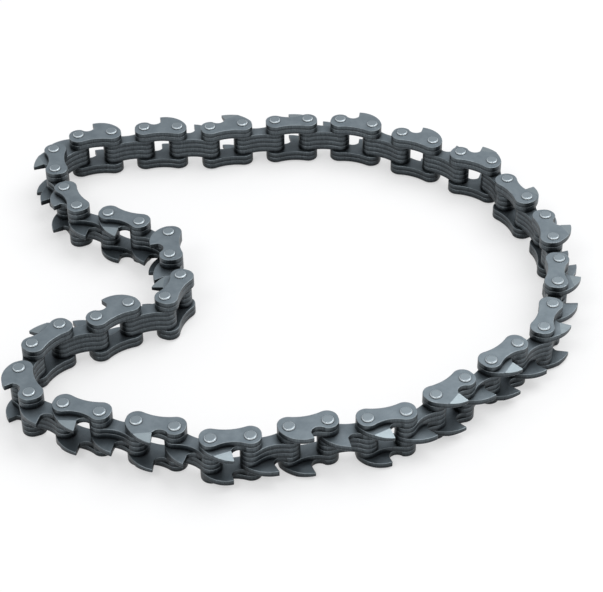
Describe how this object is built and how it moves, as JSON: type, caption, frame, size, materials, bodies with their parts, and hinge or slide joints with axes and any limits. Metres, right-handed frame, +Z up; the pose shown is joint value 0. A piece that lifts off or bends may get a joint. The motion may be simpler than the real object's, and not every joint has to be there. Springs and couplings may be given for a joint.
{
  "type": "chain mortiser chain",
  "caption": "Closed loop of mortising chain lying on its side: riveted stacks of steel link plates with hooked cutting teeth on the outside, pushed in at one side.",
  "frame": {"origin": "middle of the bounding box, on the surface that the lower rivet heads rest on", "axes": "+Z up along the pins, +X to the right in the picture along the loop's longest way, +Y away from the camera"},
  "size_m": [0.2148, 0.2086, 0.0192],
  "materials": {
    "link_steel": "satin, blued"
  },
  "bodies": {
    "outer_link_01": {"outer_link_01": "link_steel"},
    "inner_link_01": {"inner_link_01": "link_steel"},
    "outer_link_02": {"outer_link_02": "link_steel"},
    "inner_link_02": {"inner_link_02": "link_steel"},
    "outer_link_03": {"outer_link_03": "link_steel"},
    "inner_link_03": {"inner_link_03": "link_steel"},
    "outer_link_04": {"outer_link_04": "link_steel"},
    "inner_link_04": {"inner_link_04": "link_steel"},
    "outer_link_05": {"outer_link_05": "link_steel"},
    "inner_link_05": {"inner_link_05": "link_steel"},
    "outer_link_06": {"outer_link_06": "link_steel"},
    "inner_link_06": {"inner_link_06": "link_steel"},
    "outer_link_07": {"outer_link_07": "link_steel"},
    "inner_link_07": {"inner_link_07": "link_steel"},
    "outer_link_08": {"outer_link_08": "link_steel"},
    "inner_link_08": {"inner_link_08": "link_steel"},
    "outer_link_09": {"outer_link_09": "link_steel"},
    "inner_link_09": {"inner_link_09": "link_steel"},
    "outer_link_10": {"outer_link_10": "link_steel"},
    "inner_link_10": {"inner_link_10": "link_steel"},
    "outer_link_11": {"outer_link_11": "link_steel"},
    "inner_link_11": {"inner_link_11": "link_steel"},
    "outer_link_12": {"outer_link_12": "link_steel"},
    "inner_link_12": {"inner_link_12": "link_steel"},
    "outer_link_13": {"outer_link_13": "link_steel"},
    "inner_link_13": {"inner_link_13": "link_steel"},
    "outer_link_14": {"outer_link_14": "link_steel"},
    "inner_link_14": {"inner_link_14": "link_steel"},
    "outer_link_15": {"outer_link_15": "link_steel"},
    "inner_link_15": {"inner_link_15": "link_steel"},
    "outer_link_16": {"outer_link_16": "link_steel"},
    "inner_link_16": {"inner_link_16": "link_steel"},
    "outer_link_17": {"outer_link_17": "link_steel"},
    "inner_link_17": {"inner_link_17": "link_steel"},
    "outer_link_18": {"outer_link_18": "link_steel"},
    "inner_link_18": {"inner_link_18": "link_steel"},
    "outer_link_19": {"outer_link_19": "link_steel"},
    "inner_link_19": {"inner_link_19": "link_steel"},
    "outer_link_20": {"outer_link_20": "link_steel"},
    "inner_link_20": {"inner_link_20": "link_steel"},
    "outer_link_21": {"outer_link_21": "link_steel"},
    "inner_link_21": {"inner_link_21": "link_steel"},
    "outer_link_22": {"outer_link_22": "link_steel"},
    "inner_link_22": {"inner_link_22": "link_steel"},
    "outer_link_23": {"outer_link_23": "link_steel"},
    "inner_link_23": {"inner_link_23": "link_steel"},
    "outer_link_24": {"outer_link_24": "link_steel"},
    "inner_link_24": {"inner_link_24": "link_steel"},
    "outer_link_25": {"outer_link_25": "link_steel"},
    "inner_link_25": {"inner_link_25": "link_steel"},
    "outer_link_26": {"outer_link_26": "link_steel"},
    "inner_link_26": {"inner_link_26": "link_steel"}
  },
  "joints": [
    {"name": "pin_30", "type": "hinge", "parent": "outer_link_15", "child": "inner_link_15", "pos_m": [-0.00324, -0.09074, 0.0096], "axis": [0, 0, 1], "range_deg": [-4.09, 8.21]},
    {"name": "pin_31", "type": "hinge", "parent": "inner_link_15", "child": "outer_link_16", "pos_m": [-0.01625, -0.09502, 0.0096], "axis": [0, 0, 1], "range_deg": [-11.34, 5.43]},
    {"name": "pin_32", "type": "hinge", "parent": "outer_link_16", "child": "inner_link_16", "pos_m": [-0.02989, -0.09626, 0.0096], "axis": [0, 0, 1], "range_deg": [-4.15, 8.36]},
    {"name": "pin_33", "type": "hinge", "parent": "inner_link_16", "child": "outer_link_17", "pos_m": [-0.04223, -0.0903, 0.0096], "axis": [0, 0, 1], "range_deg": [-9.11, 4.48]},
    {"name": "pin_34", "type": "hinge", "parent": "outer_link_17", "child": "inner_link_17", "pos_m": [-0.05559, -0.08726, 0.0096], "axis": [0, 0, 1], "range_deg": [-4.29, 8.67]},
    {"name": "pin_35", "type": "hinge", "parent": "inner_link_17", "child": "outer_link_18", "pos_m": [-0.06848, -0.08262, 0.0096], "axis": [0, 0, 1], "range_deg": [-8.49, 4.21]},
    {"name": "pin_36", "type": "hinge", "parent": "outer_link_18", "child": "inner_link_18", "pos_m": [-0.08144, -0.0782, 0.0096], "axis": [0, 0, 1], "range_deg": [-4.3, 8.7]},
    {"name": "pin_37", "type": "hinge", "parent": "inner_link_18", "child": "outer_link_19", "pos_m": [-0.09388, -0.07246, 0.0096], "axis": [0, 0, 1], "range_deg": [-8.3, 4.13]},
    {"name": "pin_38", "type": "hinge", "parent": "outer_link_19", "child": "inner_link_19", "pos_m": [-0.09885, -0.0597, 0.0096], "axis": [0, 0, 1], "range_deg": [-4.21, 8.5]},
    {"name": "pin_39", "type": "hinge", "parent": "inner_link_19", "child": "outer_link_20", "pos_m": [-0.09561, -0.04639, 0.0096], "axis": [0, 0, 1], "range_deg": [-8.34, 4.14]},
    {"name": "pin_40", "type": "hinge", "parent": "outer_link_20", "child": "inner_link_20", "pos_m": [-0.08668, -0.03599, 0.0096], "axis": [0, 0, 1], "range_deg": [-4.51, 9.19]},
    {"name": "pin_41", "type": "hinge", "parent": "inner_link_20", "child": "outer_link_21", "pos_m": [-0.07368, -0.03168, 0.0096], "axis": [0, 0, 1], "range_deg": [-8.65, 4.28]},
    {"name": "pin_42", "type": "hinge", "parent": "outer_link_21", "child": "inner_link_21", "pos_m": [-0.06251, -0.02374, 0.0096], "axis": [0, 0, 1], "range_deg": [-12.01, 26.7]},
    {"name": "pin_43", "type": "hinge", "parent": "inner_link_21", "child": "outer_link_22", "pos_m": [-0.04924, -0.02033, 0.0096], "axis": [0, 0, 1], "range_deg": [-35, 15]},
    {"name": "pin_44", "type": "hinge", "parent": "outer_link_22", "child": "inner_link_22", "pos_m": [-0.04398, -0.00768, 0.0096], "axis": [0, 0, 1], "range_deg": [-12.04, 26.77]},
    {"name": "pin_45", "type": "hinge", "parent": "inner_link_22", "child": "outer_link_23", "pos_m": [-0.04877, 0.00516, 0.0096], "axis": [0, 0, 1], "range_deg": [-4.47, 9.1]},
    {"name": "pin_46", "type": "hinge", "parent": "outer_link_23", "child": "inner_link_23", "pos_m": [-0.04984, 0.01882, 0.0096], "axis": [0, 0, 1], "range_deg": [-4.33, 8.78]},
    {"name": "pin_47", "type": "hinge", "parent": "inner_link_23", "child": "outer_link_24", "pos_m": [-0.06165, 0.02577, 0.0096], "axis": [0, 0, 1], "range_deg": [-22.76, 10.33]},
    {"name": "pin_48", "type": "hinge", "parent": "outer_link_24", "child": "inner_link_24", "pos_m": [-0.07412, 0.03144, 0.0096], "axis": [0, 0, 1], "range_deg": [-4.2, 8.47]},
    {"name": "pin_49", "type": "hinge", "parent": "inner_link_24", "child": "outer_link_25", "pos_m": [-0.08687, 0.03644, 0.0096], "axis": [0, 0, 1], "range_deg": [-8.72, 4.31]},
    {"name": "pin_50", "type": "hinge", "parent": "outer_link_25", "child": "inner_link_25", "pos_m": [-0.09301, 0.04869, 0.0096], "axis": [0, 0, 1], "range_deg": [-4.12, 8.29]},
    {"name": "pin_51", "type": "hinge", "parent": "inner_link_25", "child": "outer_link_26", "pos_m": [-0.09786, 0.0615, 0.0096], "axis": [0, 0, 1], "range_deg": [-8.91, 4.39]},
    {"name": "pin_52", "type": "hinge", "parent": "outer_link_26", "child": "inner_link_26", "pos_m": [-0.09971, 0.07508, 0.0096], "axis": [0, 0, 1], "range_deg": [-4.1, 8.23]},
    {"name": "pin_01", "type": "hinge", "parent": "inner_link_26", "child": "outer_link_01", "pos_m": [-0.09051, 0.08523, 0.0096], "axis": [0, 0, 1], "range_deg": [-12.43, 5.9]},
    {"name": "pin_02", "type": "hinge", "parent": "outer_link_01", "child": "inner_link_01", "pos_m": [-0.07701, 0.08759, 0.0096], "axis": [0, 0, 1], "range_deg": [-4.26, 8.6]},
    {"name": "pin_29", "type": "hinge", "parent": "outer_link_15", "child": "inner_link_14", "pos_m": [0.0101, -0.0876, 0.0096], "axis": [0, 0, 1], "range_deg": [-8.17, 4.07]},
    {"name": "pin_28", "type": "hinge", "parent": "inner_link_14", "child": "outer_link_14", "pos_m": [0.02378, -0.08682, 0.0096], "axis": [0, 0, 1], "range_deg": [-4.38, 8.88]},
    {"name": "pin_27", "type": "hinge", "parent": "outer_link_14", "child": "inner_link_13", "pos_m": [0.03711, -0.08366, 0.0096], "axis": [0, 0, 1], "range_deg": [-8.55, 4.24]},
    {"name": "pin_26", "type": "hinge", "parent": "inner_link_13", "child": "outer_link_13", "pos_m": [0.04785, -0.07516, 0.0096], "axis": [0, 0, 1], "range_deg": [-4.75, 9.75]},
    {"name": "pin_25", "type": "hinge", "parent": "outer_link_13", "child": "inner_link_12", "pos_m": [0.05858, -0.06664, 0.0096], "axis": [0, 0, 1], "range_deg": [-5, 10.34]},
    {"name": "pin_24", "type": "hinge", "parent": "inner_link_12", "child": "outer_link_12", "pos_m": [0.06852, -0.05722, 0.0096], "axis": [0, 0, 1], "range_deg": [-4.35, 8.83]},
    {"name": "pin_23", "type": "hinge", "parent": "outer_link_12", "child": "inner_link_11", "pos_m": [0.07878, -0.04813, 0.0096], "axis": [0, 0, 1], "range_deg": [-17.83, 8.21]},
    {"name": "pin_22", "type": "hinge", "parent": "inner_link_11", "child": "outer_link_11", "pos_m": [0.08918, -0.03922, 0.0096], "axis": [0, 0, 1], "range_deg": [-26.01, 11.72]},
    {"name": "pin_21", "type": "hinge", "parent": "outer_link_11", "child": "inner_link_10", "pos_m": [0.09372, -0.02629, 0.0096], "axis": [0, 0, 1], "range_deg": [-6.84, 14.63]},
    {"name": "pin_20", "type": "hinge", "parent": "inner_link_10", "child": "outer_link_10", "pos_m": [0.0971, -0.01301, 0.0096], "axis": [0, 0, 1], "range_deg": [-7.17, 15.41]},
    {"name": "pin_19", "type": "hinge", "parent": "outer_link_10", "child": "inner_link_09", "pos_m": [0.09905, 0.00055, 0.0096], "axis": [0, 0, 1], "range_deg": [-8.85, 4.36]},
    {"name": "pin_18", "type": "hinge", "parent": "inner_link_09", "child": "outer_link_09", "pos_m": [0.09837, 0.01423, 0.0096], "axis": [0, 0, 1], "range_deg": [-4.38, 8.9]},
    {"name": "pin_17", "type": "hinge", "parent": "outer_link_09", "child": "inner_link_08", "pos_m": [0.09672, 0.02783, 0.0096], "axis": [0, 0, 1], "range_deg": [-9, 4.43]},
    {"name": "pin_16", "type": "hinge", "parent": "inner_link_08", "child": "outer_link_08", "pos_m": [0.09072, 0.04015, 0.0096], "axis": [0, 0, 1], "range_deg": [-4.36, 8.84]},
    {"name": "pin_15", "type": "hinge", "parent": "outer_link_08", "child": "inner_link_07", "pos_m": [0.08407, 0.05213, 0.0096], "axis": [0, 0, 1], "range_deg": [-9.08, 4.46]},
    {"name": "pin_14", "type": "hinge", "parent": "inner_link_07", "child": "outer_link_07", "pos_m": [0.07893, 0.06482, 0.0096], "axis": [0, 0, 1], "range_deg": [-4.33, 8.77]},
    {"name": "pin_13", "type": "hinge", "parent": "outer_link_07", "child": "inner_link_06", "pos_m": [0.06671, 0.07102, 0.0096], "axis": [0, 0, 1], "range_deg": [-9.06, 4.45]},
    {"name": "pin_12", "type": "hinge", "parent": "inner_link_06", "child": "outer_link_06", "pos_m": [0.05589, 0.07943, 0.0096], "axis": [0, 0, 1], "range_deg": [-4.37, 8.86]},
    {"name": "pin_11", "type": "hinge", "parent": "outer_link_06", "child": "inner_link_05", "pos_m": [0.04346, 0.08519, 0.0096], "axis": [0, 0, 1], "range_deg": [-8.91, 4.39]},
    {"name": "pin_10", "type": "hinge", "parent": "inner_link_05", "child": "outer_link_05", "pos_m": [0.03135, 0.09159, 0.0096], "axis": [0, 0, 1], "range_deg": [-4.44, 9.03]},
    {"name": "pin_09", "type": "hinge", "parent": "outer_link_05", "child": "inner_link_04", "pos_m": [0.01817, 0.09532, 0.0096], "axis": [0, 0, 1], "range_deg": [-8.78, 4.33]},
    {"name": "pin_08", "type": "hinge", "parent": "inner_link_04", "child": "outer_link_04", "pos_m": [0.00447, 0.09577, 0.0096], "axis": [0, 0, 1], "range_deg": [-4.54, 9.27]},
    {"name": "pin_07", "type": "hinge", "parent": "outer_link_04", "child": "inner_link_03", "pos_m": [-0.00919, 0.09478, 0.0096], "axis": [0, 0, 1], "range_deg": [-8.7, 4.3]},
    {"name": "pin_06", "type": "hinge", "parent": "inner_link_03", "child": "outer_link_03", "pos_m": [-0.02278, 0.09308, 0.0096], "axis": [0, 0, 1], "range_deg": [-4.67, 9.55]},
    {"name": "pin_05", "type": "hinge", "parent": "outer_link_03", "child": "inner_link_02", "pos_m": [-0.03623, 0.09044, 0.0096], "axis": [0, 0, 1], "range_deg": [-8.68, 4.29]},
    {"name": "pin_04", "type": "hinge", "parent": "inner_link_02", "child": "outer_link_02", "pos_m": [-0.04992, 0.09091, 0.0096], "axis": [0, 0, 1], "range_deg": [-4.62, 9.44]}
  ],
  "couplings": [
    {"joint": "pin_30", "follows": "pin_43", "ratio": -0.15268},
    {"joint": "pin_31", "follows": "pin_43", "ratio": 0.2188},
    {"joint": "pin_32", "follows": "pin_43", "ratio": -0.15569},
    {"joint": "pin_33", "follows": "pin_43", "ratio": 0.17166},
    {"joint": "pin_34", "follows": "pin_43", "ratio": -0.16242},
    {"joint": "pin_35", "follows": "pin_43", "ratio": 0.15846},
    {"joint": "pin_36", "follows": "pin_43", "ratio": -0.16286},
    {"joint": "pin_37", "follows": "pin_43", "ratio": 0.15441},
    {"joint": "pin_38", "follows": "pin_43", "ratio": -0.15874},
    {"joint": "pin_39", "follows": "pin_43", "ratio": 0.15526},
    {"joint": "pin_40", "follows": "pin_43", "ratio": -0.17331},
    {"joint": "pin_41", "follows": "pin_43", "ratio": 0.16183},
    {"joint": "pin_42", "follows": "pin_43", "ratio": -0.54389},
    {"joint": "pin_44", "follows": "pin_43", "ratio": -0.54539},
    {"joint": "pin_45", "follows": "pin_43", "ratio": -0.1714},
    {"joint": "pin_46", "follows": "pin_43", "ratio": -0.16466},
    {"joint": "pin_47", "follows": "pin_43", "ratio": 0.46052},
    {"joint": "pin_48", "follows": "pin_43", "ratio": -0.15821},
    {"joint": "pin_49", "follows": "pin_43", "ratio": 0.16333},
    {"joint": "pin_50", "follows": "pin_43", "ratio": -0.15426},
    {"joint": "pin_51", "follows": "pin_43", "ratio": 0.16738},
    {"joint": "pin_52", "follows": "pin_43", "ratio": -0.15313},
    {"joint": "pin_01", "follows": "pin_43", "ratio": 0.24188},
    {"joint": "pin_02", "follows": "pin_43", "ratio": -0.16077},
    {"joint": "pin_29", "follows": "pin_43", "ratio": 0.15177},
    {"joint": "pin_28", "follows": "pin_43", "ratio": -0.16671},
    {"joint": "pin_27", "follows": "pin_43", "ratio": 0.1599},
    {"joint": "pin_26", "follows": "pin_43", "ratio": -0.18512},
    {"joint": "pin_25", "follows": "pin_43", "ratio": -0.19757},
    {"joint": "pin_24", "follows": "pin_43", "ratio": -0.16564},
    {"joint": "pin_23", "follows": "pin_43", "ratio": 0.3561},
    {"joint": "pin_22", "follows": "pin_43", "ratio": 0.52928},
    {"joint": "pin_21", "follows": "pin_43", "ratio": -0.28855},
    {"joint": "pin_20", "follows": "pin_43", "ratio": -0.30489},
    {"joint": "pin_19", "follows": "pin_43", "ratio": 0.16613},
    {"joint": "pin_18", "follows": "pin_43", "ratio": -0.16712},
    {"joint": "pin_17", "follows": "pin_43", "ratio": 0.1694},
    {"joint": "pin_16", "follows": "pin_43", "ratio": -0.16596},
    {"joint": "pin_15", "follows": "pin_43", "ratio": 0.17104},
    {"joint": "pin_14", "follows": "pin_43", "ratio": -0.1644},
    {"joint": "pin_13", "follows": "pin_43", "ratio": 0.1705},
    {"joint": "pin_12", "follows": "pin_43", "ratio": -0.16631},
    {"joint": "pin_11", "follows": "pin_43", "ratio": 0.16733},
    {"joint": "pin_10", "follows": "pin_43", "ratio": -0.17003},
    {"joint": "pin_09", "follows": "pin_43", "ratio": 0.16465},
    {"joint": "pin_08", "follows": "pin_43", "ratio": -0.17503},
    {"joint": "pin_07", "follows": "pin_43", "ratio": 0.16297},
    {"joint": "pin_06", "follows": "pin_43", "ratio": -0.181},
    {"joint": "pin_05", "follows": "pin_43", "ratio": 0.16263},
    {"joint": "pin_04", "follows": "pin_43", "ratio": -0.17862}
  ]
}
